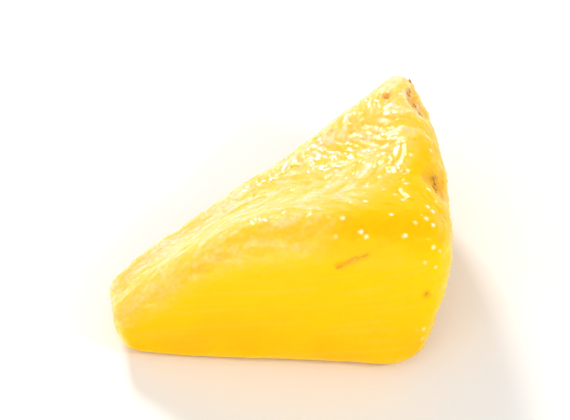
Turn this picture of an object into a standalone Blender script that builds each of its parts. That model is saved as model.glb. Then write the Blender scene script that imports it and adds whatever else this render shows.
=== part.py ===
"""One chunk of fresh pineapple, diced by hand from a peeled and cored slice.

The chunk is a wedge between two knife cuts that would meet in an apex at -X. The near cut runs along
+X and the far cut opens away from it towards +Y. The wedge reaches from a narrow blunt tip, where the
core was cut out, to the broad peeled face at +X, which was cut askew and so makes a sharp corner with
the far cut. It lies on its lower slice face, which is flat, and its upper slice face falls away
towards the tip. Its origin is under the middle of its box, on the surface that it lies on.
"""

import math

import bmesh
import bpy
from mathutils import Vector

# Driving dimensions, in metres and radians
WEDGE_ANGLE = math.radians(38.5)  # between the near cut and the far cut
TIP_REACH = 0.0078  # apex to the blunt tip, along the wedge's middle
RIM_REACH = 0.0442  # apex to the peeled face, along the near cut
RIM_SKEW = math.radians(8.5)  # turn of the peeled face from square to the near cut
RIM_SWELL = 0.0013  # how far the peeled face bulges in its middle
RIM_THICKNESS = 0.0182  # between the slice faces, at the peeled face
TIP_THICKNESS = 0.0048  # the same at the tip

# The upper slice face: along the near cut it climbs steeply from the tip and then runs level, and
# along the far cut it climbs all the way
NEAR_CLIMB = 1.05  # rise per metre of length
NEAR_SHOULDER = 0.0060  # how gently the climb turns into the level stretch

# Radii of the edges, softened by the knife and by handling. A pair holds the radius at the tip and
# at the peeled face, or for the peeled face's own edges at the near cut and at the far cut.
TIP_EDGE = 0.0024
RIM_EDGE = (0.0058, 0.0020)
SIDE_EDGE = (0.0020, 0.0038)
TOP_EDGE = (0.0025, 0.0042)
BASE_EDGE = (0.0017, 0.0026)

# Both ends are rounded inwards towards the base
RIM_UNDERCUT = (0.0036, 0.0010)  # at the near cut and at the far cut
RIM_UNDERCUT_HEIGHT = 0.0108
RIM_UNDERCUT_LENGTH = 0.0150
TIP_UNDERCUT = 0.0020
TIP_UNDERCUT_LENGTH = 0.0090

# Hand cutting leaves no face quite flat, apart from the base
NEAR_LEAN = 0.0027  # how far the near cut runs out from top to base
SIDE_BULGE = 0.055  # share of the width that the cuts swell by at half height
SIDE_WAVE = 0.00030
SIDE_WAVE_LENGTH = 0.040
TOP_WAVE = 0.00028
TOP_WAVE_LENGTH = 0.026
BASE_FADE = 0.0045  # height above which the cuts are fully uneven

# Scoops left on the peeled face where the eyes were cut out, in staggered rows
EYE_RADIUS = 0.0029
EYE_DEPTH = 0.0013
EYE_SPACING = 0.0135  # along a row
EYE_ROW_RISE = 0.0092  # from one row to the next
EYE_ROWS = 2
EYES_IN_A_ROW = 2
FIRST_EYE_RUN = 0.0048  # along the peeled face, from its near corner
FIRST_EYE_HEIGHT = 0.0066

CELL = 0.00112  # side of one face of the mesh
SLOPE_STEP = 0.0002  # for reading a slope off the upper slice face
FLESH_COLOUR = (0.95, 0.60, 0.03, 1.0)
FLESH_ROUGHNESS = 0.28

UP = Vector((0.0, 0.0, 1.0))
RIM_NORMAL = Vector((math.cos(RIM_SKEW), math.sin(RIM_SKEW), 0.0))
RIM_RUN = Vector((-math.sin(RIM_SKEW), math.cos(RIM_SKEW), 0.0))
TIP_NORMAL = Vector((-math.cos(WEDGE_ANGLE / 2), -math.sin(WEDGE_ANGLE / 2), 0.0))
NEAR_NORMAL = Vector((0.0, -1.0, 0.0))
FAR_NORMAL = Vector((-math.sin(WEDGE_ANGLE), math.cos(WEDGE_ANGLE), 0.0))


def clear_scene():
    for thing in list(bpy.data.objects):
        bpy.data.objects.remove(thing, do_unlink=True)


def smooth_step(value, low, high):
    share = min(1.0, max(0.0, (value - low) / (high - low)))
    return share * share * (3.0 - 2.0 * share)


def between(pair, share):
    return pair[0] + (pair[1] - pair[0]) * share


def soft_minimum(a, b, softness):
    """The smaller of two values, rounded off where they cross."""
    gap = max(softness - abs(a - b), 0.0) / softness
    return min(a, b) - gap * gap * softness / 4.0


def tip_radius(angle):
    return TIP_REACH / math.cos(angle - WEDGE_ANGLE / 2)


def rim_radius(angle):
    """Apex to the peeled face in the given direction."""
    flat = RIM_REACH * math.cos(RIM_SKEW) / math.cos(angle - RIM_SKEW)
    return flat + RIM_SWELL * math.sin(math.pi * min(1.0, max(0.0, angle / WEDGE_ANGLE)))


def top_height(radius, angle):
    """Height of the upper slice face."""
    along = radius - TIP_REACH
    near = soft_minimum(TIP_THICKNESS + NEAR_CLIMB * along, RIM_THICKNESS, NEAR_SHOULDER)
    far_length = rim_radius(WEDGE_ANGLE) - TIP_REACH
    far = TIP_THICKNESS + (RIM_THICKNESS - TIP_THICKNESS) * along / far_length
    return near + (far - near) * smooth_step(angle, 0.0, WEDGE_ANGLE)


def top_normal(radius, angle):
    """Direction square to the upper slice face."""
    along_rise = (top_height(radius + SLOPE_STEP, angle) - top_height(radius, angle)) / SLOPE_STEP
    turn = SLOPE_STEP / radius
    across_rise = (top_height(radius, angle + turn) - top_height(radius, angle)) / SLOPE_STEP
    outward = Vector((math.cos(angle), math.sin(angle), 0.0))
    sideward = Vector((-math.sin(angle), math.cos(angle), 0.0))
    return (UP - outward * along_rise - sideward * across_rise).normalized()


def into_edge(value, low, high, low_edge, high_edge):
    """Splits a coordinate of the sharp wedge into the place that its rounded edge is struck from,
    and how far it leans out of that place, from -1 at the low face to 1 at the high one."""
    if value < low + low_edge:
        return low + low_edge, (value - low) / low_edge - 1.0
    if value > high - high_edge:
        return high - high_edge, (value - high) / high_edge + 1.0
    return value, 0.0


def rounded_wedge(along, across, up):
    """Place on the wedge of a point of a block whose three coordinates run from 0 to 1."""
    side_edge = between(SIDE_EDGE, along)
    top_edge = between(TOP_EDGE, along)
    base_edge = between(BASE_EDGE, along)
    angle = across * WEDGE_ANGLE
    radius = tip_radius(angle) + along * (rim_radius(angle) - tip_radius(angle))
    side_turn = math.asin(side_edge / max(radius, TIP_REACH + TIP_EDGE))
    angle, lean_side = into_edge(angle, 0.0, WEDGE_ANGLE, side_turn, side_turn)

    low, high = tip_radius(angle), rim_radius(angle)
    rim_edge = between(RIM_EDGE, angle / WEDGE_ANGLE)
    rim_edge_along = rim_edge / math.cos(angle - RIM_SKEW)
    radius, lean_out = into_edge(low + along * (high - low), low, high, TIP_EDGE, rim_edge_along)

    normal_up = top_normal(radius, angle)
    top = top_height(radius, angle)
    height, lean_up = into_edge(up * top, 0.0, top, base_edge, top_edge / normal_up.z)

    end_normal = RIM_NORMAL if lean_out > 0.0 else TIP_NORMAL
    side_normal = FAR_NORMAL if lean_side > 0.0 else NEAR_NORMAL
    face_normal = normal_up if lean_up > 0.0 else -UP
    end_edge = rim_edge if lean_out > 0.0 else TIP_EDGE
    face_edge = top_edge if lean_up > 0.0 else base_edge

    lean_out, lean_side, lean_up = abs(lean_out), abs(lean_side), abs(lean_up)
    centre = Vector((radius * math.cos(angle), radius * math.sin(angle), height))
    direction = end_normal * lean_out + side_normal * lean_side + face_normal * lean_up
    if direction.length == 0.0:
        return centre
    reach = end_normal * (lean_out * end_edge) + side_normal * (lean_side * side_edge)
    reach += face_normal * (lean_up * face_edge)
    return centre + reach / direction.length


def eye_centres():
    near_corner = Vector((RIM_REACH, 0.0, 0.0))
    for row in range(EYE_ROWS):
        for step in range(EYES_IN_A_ROW):
            run = FIRST_EYE_RUN + (step + row / 2) * EYE_SPACING
            yield near_corner + RIM_RUN * run + UP * (FIRST_EYE_HEIGHT + row * EYE_ROW_RISE)


def scoop_depth(place):
    """How deep the scoops of the eyes reach in at a place on the chunk."""
    return max(EYE_DEPTH * math.exp(-((place - eye).length / EYE_RADIUS) ** 2) for eye in eye_centres())


def rim_undercut(place):
    """Share of its undercut that the peeled face has at a place, most at the base."""
    from_face = RIM_REACH * math.cos(RIM_SKEW) - place.dot(RIM_NORMAL)
    inner = smooth_step(from_face, 0.0, RIM_UNDERCUT_LENGTH)
    return (1.0 - inner) * max(0.0, 1.0 - place.z / RIM_UNDERCUT_HEIGHT) ** 2


def tip_undercut(place):
    inner = smooth_step(-TIP_REACH - place.dot(TIP_NORMAL), 0.0, TIP_UNDERCUT_LENGTH)
    return (1.0 - inner) * max(0.0, 1.0 - place.z / TIP_THICKNESS) ** 2


def hand_cut(place):
    """Moves a point of the true wedge to where the scoops and an uneven knife leave it."""
    off_base = smooth_step(place.z, 0.0, BASE_FADE)
    moved = place - RIM_NORMAL * scoop_depth(place) * off_base
    near_share = 1.0 - smooth_step(math.atan2(place.y, place.x), 0.0, WEDGE_ANGLE)
    moved -= RIM_NORMAL * (between(RIM_UNDERCUT, 1.0 - near_share) * rim_undercut(place))
    moved -= TIP_NORMAL * (TIP_UNDERCUT * tip_undercut(place))

    middle_angle = WEDGE_ANGLE / 2
    from_middle = place.y * math.cos(middle_angle) - place.x * math.sin(middle_angle)
    swell = SIDE_BULGE * from_middle * math.sin(math.pi * min(1.0, place.z / RIM_THICKNESS))
    wave = SIDE_WAVE * math.sin(math.tau * (place.x + place.z / 2) / SIDE_WAVE_LENGTH)
    moved.y += (swell + wave) * off_base
    moved.y -= NEAR_LEAN * near_share * (1.0 - place.z / RIM_THICKNESS)

    ripple = math.sin(math.tau * (place.x + place.y) / TOP_WAVE_LENGTH)
    dish = math.cos(math.pi * (place.y - place.x / 2) / TOP_WAVE_LENGTH)
    moved.z += TOP_WAVE * (ripple - dish) * smooth_step(place.z, BASE_FADE, RIM_THICKNESS)
    return moved


def unit_block(bm, cells):
    """A block from 0 to 1 each way, cut into the given number of cells along X, Y and Z."""
    bmesh.ops.create_cube(bm, size=1.0)
    bmesh.ops.translate(bm, verts=bm.verts, vec=(0.5, 0.5, 0.5))
    for axis, count in enumerate(cells):
        across = [e for e in bm.edges if abs(e.verts[0].co[axis] - e.verts[1].co[axis]) > 0.5]
        bmesh.ops.subdivide_edges(bm, edges=across, cuts=count - 1, use_grid_fill=True)


def flesh_material():
    material = bpy.data.materials.new("pineapple_flesh")
    material.use_nodes = True
    material.diffuse_color = FLESH_COLOUR
    shader = material.node_tree.nodes["Principled BSDF"]
    shader.inputs["Base Color"].default_value = FLESH_COLOUR
    shader.inputs["Roughness"].default_value = FLESH_ROUGHNESS
    shader.inputs["Metallic"].default_value = 0.0
    return material


def pineapple_chunk():
    rim_width = rim_radius(WEDGE_ANGLE) * math.sin(WEDGE_ANGLE)
    spans = (RIM_REACH - TIP_REACH, rim_width, RIM_THICKNESS)
    bm = bmesh.new()
    unit_block(bm, [round(span / CELL) for span in spans])
    for vert in bm.verts:
        vert.co = hand_cut(rounded_wedge(*vert.co))

    low = Vector(min(v.co[axis] for v in bm.verts) for axis in range(3))
    high = Vector(max(v.co[axis] for v in bm.verts) for axis in range(3))
    base_middle = Vector(((low.x + high.x) / 2, (low.y + high.y) / 2, low.z))
    bmesh.ops.translate(bm, verts=bm.verts, vec=-base_middle)
    bmesh.ops.recalc_face_normals(bm, faces=bm.faces)

    mesh = bpy.data.meshes.new("pineapple_chunk")
    bm.to_mesh(mesh)
    bm.free()
    mesh.materials.append(flesh_material())
    mesh.shade_smooth()
    chunk = bpy.data.objects.new("pineapple_chunk", mesh)
    bpy.context.scene.collection.objects.link(chunk)
    return chunk


def main():
    clear_scene()
    pineapple_chunk()


main()
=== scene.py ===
"""The looks of one hand-cut chunk of fresh pineapple: its wet, fibrous flesh and what clings to it.

The flesh is worked out in the fruit's own directions. Fibres and juice sacs run out from the core to
the peel and turn aside inside each fruitlet, so one grain through the whole chunk shows as streaks
and feathered dashes on the slice face, as faint lines on the two knife cuts, and end-on as grains on
the peeled face.
"""

import math
import random

import bmesh
import bpy
import numpy as np
from mathutils import Matrix, Vector, noise
from mathutils.bvhtree import BVHTree


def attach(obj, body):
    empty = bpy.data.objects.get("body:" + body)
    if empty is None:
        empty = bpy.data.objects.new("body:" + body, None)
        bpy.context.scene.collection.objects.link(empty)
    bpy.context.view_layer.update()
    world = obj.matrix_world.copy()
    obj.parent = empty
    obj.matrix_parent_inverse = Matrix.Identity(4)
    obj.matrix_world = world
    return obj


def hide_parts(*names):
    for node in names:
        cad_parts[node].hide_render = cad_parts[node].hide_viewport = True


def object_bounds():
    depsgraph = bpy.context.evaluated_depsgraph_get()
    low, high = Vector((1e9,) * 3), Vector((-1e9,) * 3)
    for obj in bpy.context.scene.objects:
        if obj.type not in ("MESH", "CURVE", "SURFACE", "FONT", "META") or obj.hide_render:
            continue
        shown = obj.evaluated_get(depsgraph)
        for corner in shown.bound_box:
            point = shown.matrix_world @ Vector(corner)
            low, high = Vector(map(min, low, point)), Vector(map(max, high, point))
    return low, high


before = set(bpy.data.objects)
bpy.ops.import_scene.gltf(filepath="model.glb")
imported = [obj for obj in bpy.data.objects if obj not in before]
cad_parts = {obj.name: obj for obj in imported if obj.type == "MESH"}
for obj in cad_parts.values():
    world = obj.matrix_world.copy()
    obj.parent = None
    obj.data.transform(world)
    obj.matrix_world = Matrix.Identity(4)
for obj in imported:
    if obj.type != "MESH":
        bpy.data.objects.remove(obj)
CAD_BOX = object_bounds()

bl_info = {
    "name": "Pineapple chunk",
    "version": (1, 0, 0),
    "blender": (4, 5, 0),
    "location": "3D View > Sidebar > Pineapple",
    "description": "Makes a diced chunk of fresh pineapple and the small studio that it lies in",
    "category": "Add Mesh",
}

MM = 0.001
NODE = "pineapple_chunk"
BODY = "root"

# Where the fruit lay round this chunk. The two knife cuts meet in the apex, and the fruit's own axis
# lies further back along the wedge's middle.
WEDGE_ANGLE = math.radians(38.5)
APEX = Vector((CAD_BOX[0].x - 7.0 * MM, CAD_BOX[0].y + 2.7 * MM, 0.0))
MIDDLE = Vector((math.cos(WEDGE_ANGLE / 2), math.sin(WEDGE_ANGLE / 2), 0.0))
FRUIT_AXIS = APEX - MIDDLE * 5.0 * MM
FAR_NORMAL = Vector((-math.sin(WEDGE_ANGLE), math.cos(WEDGE_ANGLE), 0.0))  # of the far knife cut

# The rim is the peeled face: the way it looks, the way along it and how far it is from the axis
RIM_SKEW = math.radians(8.5)
RIM_NORMAL = Vector((math.cos(RIM_SKEW), math.sin(RIM_SKEW), 0.0))
RIM_RUN = Vector((-math.sin(RIM_SKEW), math.cos(RIM_SKEW), 0.0))
RIM_DISTANCE = 51 * MM
ARC_RADIUS = 30 * MM  # radius at which an angle round the axis is measured as a length
FIBRE_RISE = 0.16  # fibres climb a little on their way out from the core

# The fruit is many fruitlets grown together, each with its own middle behind one eye. Fibres turn
# aside from that middle on their last stretch to the peel.
FRUITLET_PITCH = 7.8 * MM
FRUITLET_MIDDLE = -2.0 * MM
FRUITLET_WOBBLE = 0.9 * MM
BRANCHING_LENGTH = 21 * MM
BRANCHING_ONSET = 5 * MM
BRANCHING_SLOPE = 0.8

# Patterns in the flesh: the size of their grains, or the sizes along the fibres, round the fruit and
# up. Single fibres are too fine to show, so they are drawn in bundles.
BUNDLE_LENGTH = 6 * MM
STREAKS = (4.5 * MM, 1.2 * MM, 1.2 * MM)
MOTTLES = (1.5 * MM, 0.7 * MM, 0.7 * MM)
LONG_FIBRES = (13 * MM, 0.6 * MM, 0.6 * MM)
LARGE_SWELLS = 6 * MM
SMALL_SWELLS = 2.4 * MM
RAGGEDNESS = 1.3 * MM
PATCHES = 5 * MM
WOBBLES = 9 * MM  # in how the fibres branch
WANDERING = 2.6 * MM  # of the edges of eyes and seams
GRANULES = 0.6 * MM
CELL_RADIUS = 0.62  # of a cut sac's swelling, with the distance between sacs as 1
CELL_SEED = 23  # without a seed, the vector noise that slants the sacs differs in each run

# How far things stand out of the cut surface or sink into it
SWELL_HEIGHT = 0.24 * MM
RAGGED_EDGE_HEIGHT = 0.16 * MM
GRANULE_HEIGHT = 0.03 * MM
EYE_LIP_HEIGHT = 0.14 * MM
EYE_DENT_DEPTH = 0.40 * MM
SEAM_DEPTH = 0.08 * MM
PIT_DEPTH = 0.12 * MM
SLIT_DEPTH = 0.14 * MM

# The slice face is golden in its near outer corner and pale beyond this line across it: pale fibres, and
# painted sheen where light from behind would gleam on it.
PALE_BORDER = Vector((5.4, -14.3, 0.0)) * MM
PALE_SIDE = Vector((-0.876, 0.482, 0.0))

# Where each of these begins and where it is complete, as distances
PALE_FLESH = (-2 * MM, 4 * MM)  # beyond the pale border
# The beads of juice are painted near white, as painted glints.
NO_GLINT_BEADS = (5 * MM, 13 * MM)  # beyond the pale border
JUICY_FLESH = (30 * MM, 15 * MM)  # from the peeled face
GLINT_BEADS_ON_SLICE = (17 * MM, 12 * MM)  # from the peeled face
GLINT_BEADS_ON_CUTS = (6 * MM, 3 * MM)  # from the peeled face
BY_FAR_CUT = (6 * MM, 1 * MM)
OFF_NEAR_CUT = (2 * MM, 9 * MM)
# Painted shade: the sides darken from this height down to the foot.
LOW_PAINTED_SHADE = (12 * MM, 1 * MM)  # above the foot
RELIEF = (0.3 * MM, 2.0 * MM)  # above the foot, which stays flat

# How squarely a point looks a face's way where that face begins and where it is complete
SLICE_FACING = (0.45, 0.9)
SIDE_FACING = (0.5, 0.85)

# Eyes on the peeled face: the scoop nearest the front, and the staggered rows that it starts
FIRST_EYE = Vector((17.9 * MM, -9.1 * MM, 6.6 * MM))
EYE_SPACING = 13.5 * MM
EYE_ROW_RISE = 9.2 * MM
EYE_DENT_RADIUS = 1.8 * MM
EYE_LIP_RADIUS = 3.1 * MM
EYE_LIP_WIDTH = 0.8 * MM
SEAM_WIDTH = 0.6 * MM  # of the seam between two fruitlets

# What the knife left of the eyes: flecks in the scoops, by step along the row and row, and others on
# the outer corner, by place and width
SCOOPED_EYES = ((0, 0), (1, 0), (0, 1), (1, 1))
FLECKS_IN_SCOOP = 5
FLECK_SPREAD = (0.9 * MM, 0.8 * MM)  # along the rim and up
FLECK_WIDTHS = (0.35 * MM, 0.95 * MM)
CORNER_FLECKS = (
    (Vector((12.9, 14.7, 14.7)) * MM, 1.1 * MM),
    (Vector((14.4, 9.9, 14.4)) * MM, 0.8 * MM),
    (Vector((10.4, 10.8, 16.1)) * MM, 0.7 * MM),
    (Vector((16.2, -15.0, 10.5)) * MM, 0.5 * MM),
)
NICK = Vector((0, 0, 0.01 * MM))  # made by the knife's tip at each fleck on the corner

# A seed cavity that the near cut opened, from end to end. Each seed has its share of the way along
# the cavity, its height above that line, its length and its width.
SEED_CAVITY = (Vector((6.7, -15.0, 14.1)) * MM, Vector((9.7, -14.4, 15.3)) * MM)
SLIT_WIDTH = 0.34 * MM
SEED_THICKNESS = 0.20 * MM
SEED_ROW = (
    (0.04, -0.25 * MM, 0.7 * MM, 0.34 * MM),
    (0.30, 0.05 * MM, 0.8 * MM, 0.40 * MM),
    (0.55, 0.20 * MM, 0.9 * MM, 0.55 * MM),
    (0.92, 0.10 * MM, 0.8 * MM, 0.26 * MM),
)

# Patterns in the materials. Real fine grain and beads of juice are finer than these, but wouldn't show. The
# beads are painted near white: painted glints.
SPECKLE_SIZE = 0.5 * MM
FINE_GRAIN_SIZE = 0.55 * MM
GLINT_BEAD_SPACING = 1.7 * MM
BRACT_PATCH_SIZE = 0.4 * MM
SEED_PATCH_SIZE = 0.5 * MM
# Sugary juice bends light a little more than water, and the flesh under it a little more again.
JUICE_IOR = 1.34
FLESH_IOR = 1.36
GLOW_DEPTH = 2.4 * MM  # how far red light goes into the flesh

# The studio: the floor reaches this far from the chunk, and the walls are brighter than the ceiling
FLOOR_REACH = 0.24
WALL_LIGHT = 1.10
CEILING_LIGHT = 0.60
LAMP_TARGET = Vector((0.0, 0.0, 8.0 * MM))
CAMERA_TARGET = Vector((0.0, 0.0, 8.2 * MM))


def linear(code):
    """Linear colour of an sRGB hex code."""
    shares = [int(code[i : i + 2], 16) / 255 for i in (1, 3, 5)]
    return [s / 12.92 if s <= 0.04045 else ((s + 0.055) / 1.055) ** 2.4 for s in shares]


def smooth_step(values, low, high):
    """From 0 at low to 1 at high, levelling off at both. It falls where low is the larger."""
    share = np.clip((values - low) / (high - low), 0.0, 1.0)
    return share * share * (3.0 - 2.0 * share)


def hump(distances, width):
    """1 at no distance, a third at one width and next to nothing at two."""
    return np.exp(-((distances / width) ** 2))


# ---------------------------------------------------------------- the grain of the fruit


def fruit_places(points):
    """Each point's distance from the fruit's axis, way round it and height along its fibre."""
    across = points[:, :2] - np.array(FRUIT_AXIS[:2])
    out = np.hypot(across[:, 0], across[:, 1])
    turn = np.arctan2(across[:, 1], across[:, 0]) - WEDGE_ANGLE / 2
    return np.column_stack((out, turn * ARC_RADIUS, points[:, 2] - FIBRE_RISE * (out - RIM_DISTANCE)))


def branch(places, wobble):
    """Turns the fibres aside inside each fruitlet, more or less far as the wobble says."""
    off_middle = places[:, 1] - FRUITLET_MIDDLE + FRUITLET_WOBBLE * wobble
    off_middle = (off_middle + FRUITLET_PITCH / 2) % FRUITLET_PITCH - FRUITLET_PITCH / 2
    way = np.clip(places[:, 0] - RIM_DISTANCE + BRANCHING_LENGTH, 0.0, None)
    aside = BRANCHING_SLOPE * (1.0 + 0.35 * wobble) * way * way / (way + BRANCHING_ONSET)
    branched = places.copy()
    branched[:, 1] -= np.sign(off_middle) * aside
    return branched


def grain(places, sizes, seed):
    """Smooth noise from -1 to 1, in grains of one size or of one size each way."""
    scaled = places / np.array(sizes) + seed
    return np.array([noise.noise(p) for p in scaled])


def cells(places, sizes, seed):
    """Cells packed side by side. In each, a round swelling from 0 to 1, a slant and one chance value."""
    found = []
    for place in places / np.array(sizes) + seed:
        distances, middles = noise.voronoi(place)
        swelling = max(0.0, 1.0 - (distances[0] / CELL_RADIUS) ** 2)
        # Noise at the cell's middle, where all its points read the same
        tilt = noise.noise_vector(middles[0] * 2.7)
        chance = noise.noise(middles[0] * 5.3)
        found.append((swelling, (Vector(place) - middles[0]).dot(tilt), chance))
    return np.array(found).T


def way_to(points, start, end):
    """Each point's distance to a straight stretch."""
    start, run = np.array(start), np.array(end - start)
    share = np.clip((points - start) @ run / (run @ run), 0.0, 1.0)
    return np.linalg.norm(points - start - share[:, None] * run, axis=1)


def eye_place(step, row):
    """Middle of an eye on the peeled face. Each row is half a step further along than the last."""
    return FIRST_EYE + RIM_RUN * (step + row / 2) * EYE_SPACING + Vector((0, 0, row * EYE_ROW_RISE))


def eye_distances(points):
    """Distances to the nearest eye and to the next one, along the peeled face."""
    found = []
    for row in range(-1, 3):
        for step in range(-2, 3):
            apart = points - np.array(eye_place(step, row))
            found.append(np.hypot(apart @ np.array(RIM_RUN), apart[:, 2]))
    found = np.sort(found, axis=0)
    return found[0], found[1]


class CutSurface:
    """The chunk's surface: which face each point lies on, and what the fruit's grain does there."""

    def __init__(self, points, normals, settings):
        self.points = points
        self.settings = settings
        self.straight = fruit_places(points)
        self.branched = branch(self.straight, grain(points, WOBBLES, seed=7.3))
        self.from_rim = RIM_DISTANCE - self.branched[:, 0]

        # Each point's share of the slice faces, the peeled face, the core end and the knife cuts
        self.upward = normals[:, 2]
        self.on_slice = smooth_step(np.abs(self.upward), *SLICE_FACING)
        self.on_rim = smooth_step(normals @ np.array(RIM_NORMAL), *SIDE_FACING)
        self.on_core = smooth_step(normals @ -np.array(MIDDLE), *SIDE_FACING)
        self.on_cut = np.clip(1.0 - self.on_slice - self.on_rim, 0.0, 1.0)
        # How near it is to the far cut, and how far beyond the border of the pale flesh
        self.by_far_cut = smooth_step((np.array(APEX) - points) @ np.array(FAR_NORMAL), *BY_FAR_CUT)
        self.beyond = (points - np.array(PALE_BORDER)) @ np.array(PALE_SIDE)
        self.in_pale = smooth_step(self.beyond, *PALE_FLESH)

        # Patterns that both the relief and the colours follow
        width = settings.fibre_spacing
        self.bundle = grain(self.branched, (BUNDLE_LENGTH, width, width), seed=3.7)
        self.strand = grain(self.straight, (BUNDLE_LENGTH, width / 2, width / 2), seed=11.3)
        self.ragged = grain(points, RAGGEDNESS, seed=47.3)
        self.patch = smooth_step(grain(points, PATCHES, seed=41.3), -0.25, 0.35)

        # The eyes on the peeled face, and the seams between the fruitlets
        wander = grain(points, WANDERING, seed=19.1)
        to_eye, to_next = eye_distances(points)
        to_eye += MM * (1.1 * wander + 0.5 * self.ragged)
        self.eye_lip = hump(to_eye - EYE_LIP_RADIUS, EYE_LIP_WIDTH)
        self.eye_dent = hump(to_eye, EYE_DENT_RADIUS)
        self.seam = hump(to_next - to_eye + 1.2 * MM * wander, SEAM_WIDTH) * self.patch

        # Small pits round the flecks, and the slit that the knife opened along a seed cavity
        pits = [
            hump(way_to(points, place, place + NICK), 0.8 * fleck_width)
            for place, fleck_width in CORNER_FLECKS
        ]
        self.pit = np.max(pits, axis=0)
        self.slit = hump(way_to(points, *SEED_CAVITY), SLIT_WIDTH)
        self.slit *= 0.35 + 0.65 * smooth_step(self.ragged, -0.20, 0.20)

    def flesh_height(self):
        """Swells of soft flesh, bundles of fibres and cut juice sacs.

        The golden flesh of the slice face is smoother than the pale flesh, but for a full sac here
        and there.
        """
        swelling = grain(self.points, LARGE_SWELLS, seed=23.9)
        swelling += 0.45 * grain(self.points, SMALL_SWELLS, seed=53.9)
        on_edge = 4.0 * self.on_slice * (1.0 - self.on_slice)
        height = SWELL_HEIGHT * swelling + RAGGED_EDGE_HEIGHT * self.ragged * on_edge

        on_pale_slice = self.on_slice * self.in_pale
        fibres = self.bundle * (on_pale_slice + self.on_rim)
        fibres += self.strand * (0.3 * on_pale_slice + 0.45 * self.on_cut)
        height += self.settings.fibre_relief * fibres

        width = self.settings.sac_width
        sac, slant, chance = cells(self.branched, (1.3 * width, width, width), seed=5.1)
        juicy = smooth_step(self.from_rim, *JUICY_FLESH)
        cut_open = self.on_slice * (0.35 + 0.65 * self.in_pale) * (0.40 + 0.60 * juicy)
        cut_open += 0.8 * self.on_rim + 0.10 * self.on_cut
        full = smooth_step(chance, 0.10, 0.20) * juicy * (1.0 - 0.6 * self.in_pale)
        full *= (1.0 - self.on_rim) * (0.35 + 0.65 * self.on_slice)
        sacs = (0.42 * sac + 2.0 * slant) * cut_open + (0.6 * sac + 2.1 * slant) * full
        height += self.settings.sac_relief * sacs

        granule = cells(self.points, GRANULES, seed=31.7)[0]
        return height + GRANULE_HEIGHT * granule * (self.on_slice + 2.7 * self.on_rim)

    def peeled_height(self):
        """A dent with a ragged lip at each eye, and a faint seam between the fruitlets."""
        lip = EYE_LIP_HEIGHT * self.eye_lip * (1.0 + 1.5 * self.bundle)
        dent = (EYE_DENT_DEPTH + 0.25 * MM * self.strand) * self.eye_dent
        return self.on_rim * (lip - dent - SEAM_DEPTH * self.seam)

    def height(self):
        """How far the surface stands out at each point."""
        height = self.flesh_height() + self.peeled_height()
        height -= PIT_DEPTH * self.pit + SLIT_DEPTH * self.slit
        return height * smooth_step(self.points[:, 2], *RELIEF)

    def paleness_and_sheen(self):
        """Pale fibre bundles over a millimetre wide, broken up by grains half as wide.

        On the slice face they lie closest along the far cut, and thin out towards the near one. Where the
        pale flesh of the slice faces up, its paleness is also painted sheen. The core end is pale all over.
        """
        streak = 0.30 + 0.70 * smooth_step(grain(self.branched, STREAKS, seed=61.3), -0.20, 0.20)
        mottle = 0.40 + 0.60 * smooth_step(grain(self.branched, MOTTLES, seed=71.9), -0.30, 0.25)
        off_near_cut = smooth_step(self.points[:, 1] - CAD_BOX[0].y, *OFF_NEAR_CUT)
        closeness = np.maximum(0.46 + 0.51 * off_near_cut, 1.2 * self.by_far_cut)
        slice_pale_and_sheen = 0.10 + 0.15 * self.by_far_cut + closeness * streak * mottle
        # Painted sheen: the slice's pale flesh is paler where it faces up and along the far edge.
        near_side = smooth_step(self.upward, 0.10, 0.75)
        far_edge = smooth_step(self.upward, -0.10, 0.40) * self.by_far_cut
        slice_pale_and_sheen *= np.maximum(near_side, far_edge) * self.in_pale

        rim_pale = 0.22 * mottle + 0.12 * self.seam + 0.15 * self.eye_lip * (1.0 + self.bundle)
        core_pale = 0.30 + 0.45 * mottle
        cut_pale = smooth_step(grain(self.straight, LONG_FIBRES, seed=83.1), 0.05, 0.45)
        cut_pale *= 0.04 + 0.16 * self.by_far_cut
        others = (self.on_rim * rim_pale, self.on_core * core_pale, self.on_cut * cut_pale)
        return np.max((slice_pale_and_sheen, *others), axis=0)

    def deepness(self):
        """Deeper colour in patches low on the sides, which darken towards the bottom as painted shade, and
        along the far cut, where it is painted shade that tones down the face the lamp lights most. Core
        flesh has hardly any.
        """
        shade_low_down = smooth_step(self.points[:, 2], *LOW_PAINTED_SHADE)
        deep = (1.0 - self.on_slice) * (0.50 + 0.25 * self.patch) * shade_low_down
        deep += 0.08 * self.on_slice * (1.0 - self.in_pale) + 0.45 * self.on_cut * self.by_far_cut
        return deep * (1.0 - 0.8 * self.on_core)

    def painted_glint_beading(self):
        """Where beads of juice stand, painted near white as glints: on the golden flesh near the peel, and
        less far on the cuts.
        """
        glint_beads = self.on_slice * smooth_step(self.from_rim, *GLINT_BEADS_ON_SLICE)
        glint_beads += self.on_cut * smooth_step(self.from_rim, *GLINT_BEADS_ON_CUTS)
        return glint_beads * (1.0 - smooth_step(self.beyond, *NO_GLINT_BEADS))

    def masks(self):
        """What the material of the flesh reads at each point, from 0 to 1."""
        masks = {
            "pale_and_sheen": self.paleness_and_sheen(),
            "stain": np.max((self.on_rim * self.eye_dent, self.pit, self.slit), axis=0),
            "deep": self.deepness(),
            "glint_beads": self.painted_glint_beading(),
        }
        return {name: np.clip(values, 0.0, 1.0) for name, values in masks.items()}


# ---------------------------------------------------------------- mesh helpers


def evaluated_mesh(obj, name):
    """The object's mesh with its modifiers applied, as a new mesh."""
    graph = bpy.context.evaluated_depsgraph_get()
    mesh = bpy.data.meshes.new_from_object(obj.evaluated_get(graph))
    mesh.name = name
    return mesh


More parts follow.
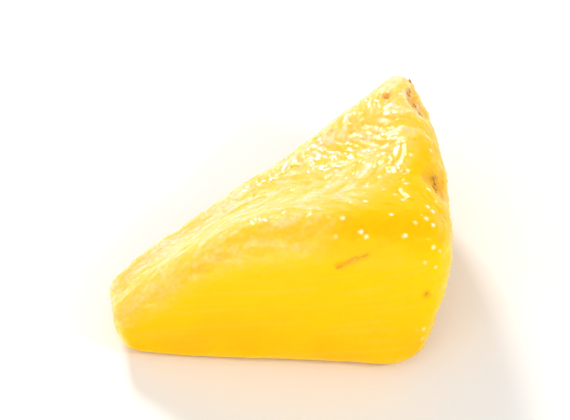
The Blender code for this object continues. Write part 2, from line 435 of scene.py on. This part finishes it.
def softened_solid(solid, step, name):
    """A copy of the solid with its edges softened, as an even grid of points a step apart."""
    bm = bmesh.new()
    bm.from_mesh(solid)
    bmesh.ops.remove_doubles(bm, verts=bm.verts, dist=0.01 * MM)
    # Pairs of triangles become four-sided faces, so that the softening goes evenly round them.
    bmesh.ops.join_triangles(bm, faces=bm.faces, angle_face_threshold=0.7, angle_shape_threshold=0.7)
    draft_mesh = bpy.data.meshes.new("flesh_draft")
    bm.to_mesh(draft_mesh)
    bm.free()
    draft = bpy.data.objects.new("flesh_draft", draft_mesh)
    bpy.context.scene.collection.objects.link(draft)
    soften = draft.modifiers.new("soften", "SUBSURF")
    soften.levels = soften.render_levels = 2
    grid = draft.modifiers.new("even grid", "REMESH")
    grid.mode = "VOXEL"
    grid.voxel_size = step
    mesh = evaluated_mesh(draft, name)
    bpy.data.objects.remove(draft)
    bpy.data.meshes.remove(draft_mesh)
    return mesh


def vectors_of(collection, field):
    """A vector field of a mesh's points, as one row each."""
    values = np.empty(len(collection) * 3, np.float32)
    collection.foreach_get(field, values)
    return values.reshape(-1, 3).astype(float)


def store(mesh, name, values):
    """Keeps a value for each point, for the material to read."""
    layer = mesh.attributes.new(name, "FLOAT", "POINT")
    layer.data.foreach_set("value", values.astype(np.float32))


def finished_piece(name, mesh, material):
    """Puts a finished mesh in the scene as a piece of the chunk."""
    mesh.materials.clear()
    mesh.materials.append(material)
    mesh.shade_smooth()
    piece = bpy.data.objects.new(name, mesh)
    bpy.context.scene.collection.objects.link(piece)
    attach(piece, BODY)
    return piece


def flesh_surface():
    """The finished flesh, for finding places on it."""
    flesh = bpy.data.objects["pineapple_flesh"]
    return BVHTree.FromObject(flesh, bpy.context.evaluated_depsgraph_get())


def add_blob(bm, place, normal, sizes, spin, lumpiness):
    """A lump of the given sizes that lies on a surface, its third size along the normal."""
    verts = bmesh.ops.create_icosphere(bm, subdivisions=3, radius=0.5)["verts"]
    own_noise = Vector((spin * 5.0, place.x / MM, place.y / MM))
    for vert in verts:
        vert.co *= 1.0 + lumpiness * noise.noise(vert.co * 3.0 + own_noise)
    turn = normal.to_track_quat("Z", "Y").to_matrix() @ Matrix.Rotation(spin, 3, "Z")
    bmesh.ops.scale(bm, verts=verts, vec=sizes)
    bmesh.ops.rotate(bm, verts=verts, matrix=turn)
    bmesh.ops.translate(bm, verts=verts, vec=place)


# ---------------------------------------------------------------- materials


def add_node(tree, kind, inputs=None, **settings):
    """Adds a shader node, sets its settings and fills or links its inputs."""
    made = tree.nodes.new(kind)
    for name, value in settings.items():
        setattr(made, name, value)
    for name, value in (inputs or {}).items():
        if isinstance(value, bpy.types.NodeSocket):
            tree.links.new(value, made.inputs[name])
        else:
            made.inputs[name].default_value = value
    return made


def new_material(name):
    """A material without any nodes yet, and its node tree."""
    material = bpy.data.materials.new(name)
    material.use_nodes = True
    material.node_tree.nodes.clear()
    return material, material.node_tree


def fresh_flesh(settings):
    """Fresh pineapple flesh, knife-cut, under a film of its own juice.

    Light goes into the juicy flesh and comes out again millimetres away, deeper in colour, so that
    the chunk glows and its edges look soft. The film gives small hard glints on the cut sacs.
    """
    material, tree = new_material("fresh_pineapple_flesh_knife_cut")
    place = add_node(tree, "ShaderNodeTexCoord").outputs["Object"]
    masks = {}
    for name in ("pale_and_sheen", "stain", "deep", "glint_beads"):
        masks[name] = add_node(tree, "ShaderNodeAttribute", attribute_name=name).outputs["Fac"]

    # Speckles break up the pale fibres and the painted sheen, and the stains let some of the flesh show
    # through.
    inputs = {"Vector": place, "Scale": 1 / SPECKLE_SIZE, "Detail": 2.0}
    speckles = add_node(tree, "ShaderNodeTexNoise", inputs).outputs["Fac"]
    limits = {"Value": speckles, "From Min": 0.40, "From Max": 0.58, "To Min": 0.55}
    speckles = add_node(tree, "ShaderNodeMapRange", limits).outputs["Result"]
    inputs = {0: masks["pale_and_sheen"], 1: speckles}
    speckled_pale_and_sheen = add_node(tree, "ShaderNodeMath", inputs, operation="MULTIPLY").outputs[0]
    inputs = {0: masks["stain"], 1: 0.75}
    stained = add_node(tree, "ShaderNodeMath", inputs, operation="MULTIPLY").outputs[0]

    # Uneven beads of juice up to 0.7 mm wide, with soft edges, raised by the bump and painted near white as
    # glints
    inputs = {"Vector": place, "Scale": 1 / FINE_GRAIN_SIZE, "Detail": 2.0}
    fine = add_node(tree, "ShaderNodeTexNoise", inputs).outputs["Fac"]
    inputs = {"Vector": place, "Scale": 1 / GLINT_BEAD_SPACING}
    packed = add_node(tree, "ShaderNodeTexVoronoi", inputs).outputs["Distance"]
    inputs = {0: fine, 1: 0.2, 2: packed}
    uneven = add_node(tree, "ShaderNodeMath", inputs, operation="MULTIPLY_ADD").outputs[0]
    limits = {"Value": uneven, "From Min": 0.31, "From Max": 0.14}
    glint_bead = add_node(tree, "ShaderNodeMapRange", limits).outputs["Result"]
    inputs = {0: glint_bead, 1: masks["glint_beads"]}
    glint_bead = add_node(tree, "ShaderNodeMath", inputs, operation="MULTIPLY").outputs[0]

    colour = (*settings.flesh_colour, 1.0)
    for share, layer_colour in (
        (masks["deep"], settings.deep_colour),
        (speckled_pale_and_sheen, settings.fibre_and_sheen_colour),
        (stained, settings.stain_colour),
        (glint_bead, settings.bead_glint_colour),
    ):
        inputs = {"Factor": share, "A": colour, "B": (*layer_colour, 1.0)}
        colour = add_node(tree, "ShaderNodeMix", inputs, data_type="RGBA").outputs["Result"]

    raised = add_node(tree, "ShaderNodeMath", {0: fine, 1: glint_bead}, operation="ADD").outputs[0]
    inputs = {"Height": raised, "Strength": 0.35, "Distance": 0.08 * MM}
    bumpy = add_node(tree, "ShaderNodeBump", inputs).outputs["Normal"]
    # Juice and flesh bend light nearly alike, so the flesh itself hardly shines under its film. Red
    # light goes furthest into yellow flesh, and blue hardly at all.
    inputs = {
        "Base Color": colour,
        "Roughness": 0.42,
        "IOR": FLESH_IOR,
        "Specular IOR Level": 0.04,
        "Normal": bumpy,
        "Subsurface Weight": 1.0,
        "Subsurface Radius": (1.0, 0.55, 0.12),
        "Subsurface Scale": GLOW_DEPTH,
        "Coat Weight": 0.55,
        "Coat Roughness": 0.08,
        "Coat IOR": JUICE_IOR,
        "Coat Normal": bumpy,
    }
    shader = add_node(tree, "ShaderNodeBsdfPrincipled", inputs, subsurface_method="RANDOM_WALK")
    add_node(tree, "ShaderNodeOutputMaterial", {"Surface": shader.outputs[0]})
    return material


def wet_material(name, colour, second_colour, patch_size, roughness):
    """A thin, opaque plant part, in two colours that change over patches, with a film of juice.

    It has none of the flesh's glow, so that it reads as a darker speck on it.
    """
    material, tree = new_material(name)
    place = add_node(tree, "ShaderNodeTexCoord").outputs["Object"]
    inputs = {"Vector": place, "Scale": 1 / patch_size, "Detail": 3.0}
    patches = add_node(tree, "ShaderNodeTexNoise", inputs).outputs["Fac"]
    inputs = {"Factor": patches, "A": (*colour, 1.0), "B": (*second_colour, 1.0)}
    blend = add_node(tree, "ShaderNodeMix", inputs, data_type="RGBA")
    inputs = {"Height": patches, "Strength": 0.6, "Distance": 0.1 * MM}
    bump = add_node(tree, "ShaderNodeBump", inputs)
    inputs = {
        "Base Color": blend.outputs["Result"],
        "Roughness": roughness,
        "IOR": 1.45,
        "Normal": bump.outputs["Normal"],
        "Coat Weight": 0.5,
        "Coat Roughness": 0.10,
        "Coat IOR": JUICE_IOR,
    }
    shader = add_node(tree, "ShaderNodeBsdfPrincipled", inputs)
    add_node(tree, "ShaderNodeOutputMaterial", {"Surface": shader.outputs[0]})
    return material


def studio_sheet():
    """White acrylic sheet, matt: blown out by the light, so that only the soft shadow is left."""
    material, tree = new_material("white_acrylic_sheet_matt")
    inputs = {"Base Color": (*linear("#f4f3f1"), 1.0), "Roughness": 0.6}
    shader = add_node(tree, "ShaderNodeBsdfPrincipled", inputs)
    add_node(tree, "ShaderNodeOutputMaterial", {"Surface": shader.outputs[0]})
    return material


# ---------------------------------------------------------------- the studio


def add_aimed(scene, name, data, place, target):
    """Puts a lamp or a camera at a place and turns it towards a target."""
    obj = bpy.data.objects.new(name, data)
    turn = (target - place).to_track_quat("-Z", "Y").to_matrix().to_4x4()
    obj.matrix_world = Matrix.Translation(place) @ turn
    scene.collection.objects.link(obj)
    return obj


def add_lamp(scene, name, place, size, power):
    """A square lamp of the given size in metres and power in watts that shines on the chunk."""
    light = bpy.data.lights.new(name, "AREA")
    light.shape = "SQUARE"
    light.size = size
    light.energy = power
    add_aimed(scene, name, light, Vector(place), LAMP_TARGET)


def add_floor(scene):
    """A flat sheet under the chunk."""
    bm = bmesh.new()
    bmesh.ops.create_grid(bm, x_segments=1, y_segments=1, size=FLOOR_REACH)
    mesh = bpy.data.meshes.new("studio_floor")
    bm.to_mesh(mesh)
    bm.free()
    mesh.materials.append(studio_sheet())
    floor = bpy.data.objects.new("studio_floor", mesh)
    scene.collection.objects.link(floor)


def add_surroundings(scene):
    """White walls all round and a dimmer ceiling."""
    world = bpy.data.worlds.new("studio_walls")
    scene.world = world
    world.use_nodes = True
    tree = world.node_tree
    tree.nodes.clear()
    # How steeply a direction goes up tells the walls from the ceiling.
    direction = add_node(tree, "ShaderNodeTexCoord").outputs["Generated"]
    upward = add_node(tree, "ShaderNodeSeparateXYZ", {0: direction}).outputs["Z"]
    limits = {
        "Value": upward,
        "From Min": 0.05,
        "From Max": 0.6,
        "To Min": WALL_LIGHT,
        "To Max": CEILING_LIGHT,
    }
    strength = add_node(tree, "ShaderNodeMapRange", limits).outputs["Result"]
    light = add_node(tree, "ShaderNodeBackground", {"Strength": strength})
    add_node(tree, "ShaderNodeOutputWorld", {"Surface": light.outputs[0]})


# ---------------------------------------------------------------- settings


def length_setting(name, description, default):
    """A small length that a user can change."""
    return bpy.props.FloatProperty(
        name=name, description=description, default=default, unit="LENGTH", precision=5
    )


def colour_setting(name, description, code):
    """A colour that a user can change, given as an sRGB hex code."""
    return bpy.props.FloatVectorProperty(
        name=name, description=description, default=linear(code), subtype="COLOR"
    )


class ChunkSettings(bpy.types.PropertyGroup):
    """Sizes and colours of the chunk"""

    mesh_step: length_setting("Mesh step", "Distance between neighbouring points of the flesh", 0.20 * MM)
    fibre_spacing: length_setting("Fibre spacing", "Width of a bundle of fibres on a cut face", 1.2 * MM)
    fibre_relief: length_setting("Fibre relief", "How far a bundle of fibres stands out", 0.05 * MM)
    sac_width: length_setting("Juice sac width", "Width of one cut juice sac", 0.85 * MM)
    sac_relief: length_setting("Juice sac relief", "How far a cut juice sac swells out", 0.11 * MM)
    flesh_colour: colour_setting("Flesh", "Colour of the flesh", "#fdc605")
    # Painted shade: this deeper colour darkens the sides towards the bottom, besides the deeper patches.
    deep_colour: colour_setting("Deep flesh", "Colour of the juicier flesh low down", "#fbb008")
    # Cream: the fibres' colour is also the painted sheen on the slice face.
    fibre_and_sheen_colour: colour_setting("Fibres", "Colour of the pale fibres", "#ffe0b0")
    stain_colour: colour_setting("Stains", "Colour of the flesh round eyes and seeds", "#e89a0c")
    # Near white: the beads' colour is a painted glint, not the juice's own colour.
    bead_glint_colour: colour_setting("Beads", "Colour of the beads of juice", "#fff8e6")
    eye_colour: colour_setting("Eye remnants", "Colour of the remnants of the eyes", "#eaa828")
    eye_shade: colour_setting("Eye remnants, shade", "Their colour in darker patches", "#d08e22")
    seed_colour: colour_setting("Seeds", "Colour of the seeds", "#f6bc28")
    seed_shade: colour_setting("Seeds, shade", "Their colour in darker patches", "#dc9c20")


class StudioSettings(bpy.types.PropertyGroup):
    """Where the camera stands"""

    camera_turn: bpy.props.FloatProperty(
        name="Camera turn", description="Way round the chunk", default=math.radians(4), subtype="ANGLE"
    )
    camera_height: bpy.props.FloatProperty(
        name="Camera height", description="Angle above the floor", default=math.radians(42), subtype="ANGLE"
    )
    camera_distance: bpy.props.FloatProperty(
        name="Camera distance", description="Camera to chunk", default=0.40, unit="LENGTH"
    )
    lens: bpy.props.FloatProperty(
        name="Lens", description="Focal length of the camera", default=230.0, subtype="DISTANCE_CAMERA"
    )


# ---------------------------------------------------------------- operators


class PINEAPPLE_OT_flesh(bpy.types.Operator):
    """Carve the chunk's flesh: knife cuts, fibres, juice sacs and the scooped-out eyes"""

    bl_idname = "pineapple.flesh"
    bl_label = "Flesh"

    def execute(self, context):
        settings = context.scene.pineapple_chunk
        noise.seed_set(CELL_SEED)
        mesh = softened_solid(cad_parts[NODE].data, settings.mesh_step, "pineapple_flesh")
        points = vectors_of(mesh.vertices, "co")
        normals = vectors_of(mesh.vertex_normals, "vector")
        surface = CutSurface(points, normals, settings)
        raised = points + normals * surface.height()[:, None]
        mesh.vertices.foreach_set("co", raised.astype(np.float32).ravel())
        for name, values in surface.masks().items():
            store(mesh, name, values)
        mesh.update()
        flesh = finished_piece("pineapple_flesh", mesh, fresh_flesh(settings))
        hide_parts(NODE)
        return {"FINISHED"}


class PINEAPPLE_OT_eye_remnants(bpy.types.Operator):
    """Leave flecks of the eyes in their scoops and on the outer corner"""

    bl_idname = "pineapple.eye_remnants"
    bl_label = "Eye remnants"

    def execute(self, context):
        settings = context.scene.pineapple_chunk
        surface = flesh_surface()
        draw = random.Random(4)
        along, up = FLECK_SPREAD
        flecks = list(CORNER_FLECKS)
        for step, row in SCOOPED_EYES:
            for _ in range(FLECKS_IN_SCOOP):
                aside = RIM_RUN * draw.gauss(0.0, along) + Vector((0, 0, draw.gauss(0.0, up)))
                flecks.append((eye_place(step, row) + aside, draw.uniform(*FLECK_WIDTHS)))
        bm = bmesh.new()
        for place, width in flecks:
            found, normal, _, _ = surface.find_nearest(place)
            sizes = (width, width * draw.uniform(0.45, 0.8), 0.28 * width)
            add_blob(bm, found, normal, sizes, spin=draw.uniform(0, math.tau), lumpiness=0.7)
        mesh = bpy.data.meshes.new("eye_remnants")
        bm.to_mesh(mesh)
        bm.free()
        # Bracts that were woody and dry are soaked to a soft amber, and are rough where the knife
        # went through them.
        colours = (settings.eye_colour, settings.eye_shade)
        bracts = wet_material("pineapple_bract_cut_and_wet", *colours, BRACT_PATCH_SIZE, roughness=0.5)
        finished_piece("eye_remnants", mesh, bracts)
        return {"FINISHED"}


class PINEAPPLE_OT_seeds(bpy.types.Operator):
    """Set a row of small seeds into the cavity that the near cut opened"""

    bl_idname = "pineapple.seeds"
    bl_label = "Seeds"

    def execute(self, context):
        settings = context.scene.pineapple_chunk
        surface = flesh_surface()
        start, end = SEED_CAVITY
        along = (end - start).normalized()
        bm = bmesh.new()
        for share, above, length, width in SEED_ROW:
            place = start.lerp(end, share) + Vector((0, 0, above))
            found, normal, _, _ = surface.find_nearest(place)
            side = normal.cross(along)
            turn = normal.to_track_quat("Z", "Y").to_matrix()
            spin = math.atan2(side.dot(turn @ Vector((0, 1, 0))), side.dot(turn @ Vector((1, 0, 0))))
            sizes = Vector((length, 0.8 * width, SEED_THICKNESS))
            add_blob(bm, found, normal, sizes, spin=spin - math.pi / 2, lumpiness=0.4)
        mesh = bpy.data.meshes.new("seeds")
        bm.to_mesh(mesh)
        bm.free()
        # Unripe seeds have a smooth amber skin, which shines more than the cut bracts.
        colours = (settings.seed_colour, settings.seed_shade)
        skin = wet_material("pineapple_seed_skin", *colours, SEED_PATCH_SIZE, roughness=0.35)
        finished_piece("seeds", mesh, skin)
        return {"FINISHED"}


class PINEAPPLE_OT_studio(bpy.types.Operator):
    """Set up the floor, the lights and the camera"""

    bl_idname = "pineapple.studio"
    bl_label = "Studio"

    def execute(self, context):
        settings = context.scene.pineapple_studio
        scene = context.scene
        scene.view_settings.view_transform = "Standard"
        scene.view_settings.look = "Medium High Contrast"
        add_floor(scene)
        add_surroundings(scene)
        add_lamp(scene, "key_behind_left", place=(-0.233, 0.506, 0.336), size=0.11, power=1.95)
        add_lamp(scene, "key_right", place=(0.50, -0.26, 0.42), size=0.09, power=0.8)
        add_lamp(scene, "soft_box_front", place=(-0.15, -0.85, 0.42), size=1.20, power=4.6)

        camera = bpy.data.cameras.new("camera")
        camera.lens = settings.lens
        camera.clip_start = 0.01
        turn, rise = settings.camera_turn, settings.camera_height
        back = Vector((math.sin(turn) * math.cos(rise), -math.cos(turn) * math.cos(rise), math.sin(rise)))
        place = CAMERA_TARGET + back * settings.camera_distance
        scene.camera = add_aimed(scene, "camera", camera, place, CAMERA_TARGET)
        return {"FINISHED"}


class PINEAPPLE_PT_panel(bpy.types.Panel):
    """Lists the settings and the operators that make the chunk and its studio"""

    bl_label = "Pineapple chunk"
    bl_space_type = "VIEW_3D"
    bl_region_type = "UI"
    bl_category = "Pineapple"

    def draw(self, context):
        for group in (context.scene.pineapple_chunk, context.scene.pineapple_studio):
            for name in group.__annotations__:
                self.layout.prop(group, name)
        for operator in OPERATORS:
            self.layout.operator(operator.bl_idname)


OPERATORS = (
    PINEAPPLE_OT_flesh,
    PINEAPPLE_OT_eye_remnants,
    PINEAPPLE_OT_seeds,
    PINEAPPLE_OT_studio,
)
CLASSES = (ChunkSettings, StudioSettings, *OPERATORS, PINEAPPLE_PT_panel)


def register():
    for cls in CLASSES:
        bpy.utils.register_class(cls)
    bpy.types.Scene.pineapple_chunk = bpy.props.PointerProperty(type=ChunkSettings)
    bpy.types.Scene.pineapple_studio = bpy.props.PointerProperty(type=StudioSettings)


def unregister():
    del bpy.types.Scene.pineapple_studio
    del bpy.types.Scene.pineapple_chunk
    for cls in reversed(CLASSES):
        bpy.utils.unregister_class(cls)


def main():
    """Makes the chunk and the studio."""
    register()
    bpy.ops.pineapple.flesh()
    bpy.ops.pineapple.eye_remnants()
    bpy.ops.pineapple.seeds()
    bpy.ops.pineapple.studio()


if __name__ == "__main__":
    main()
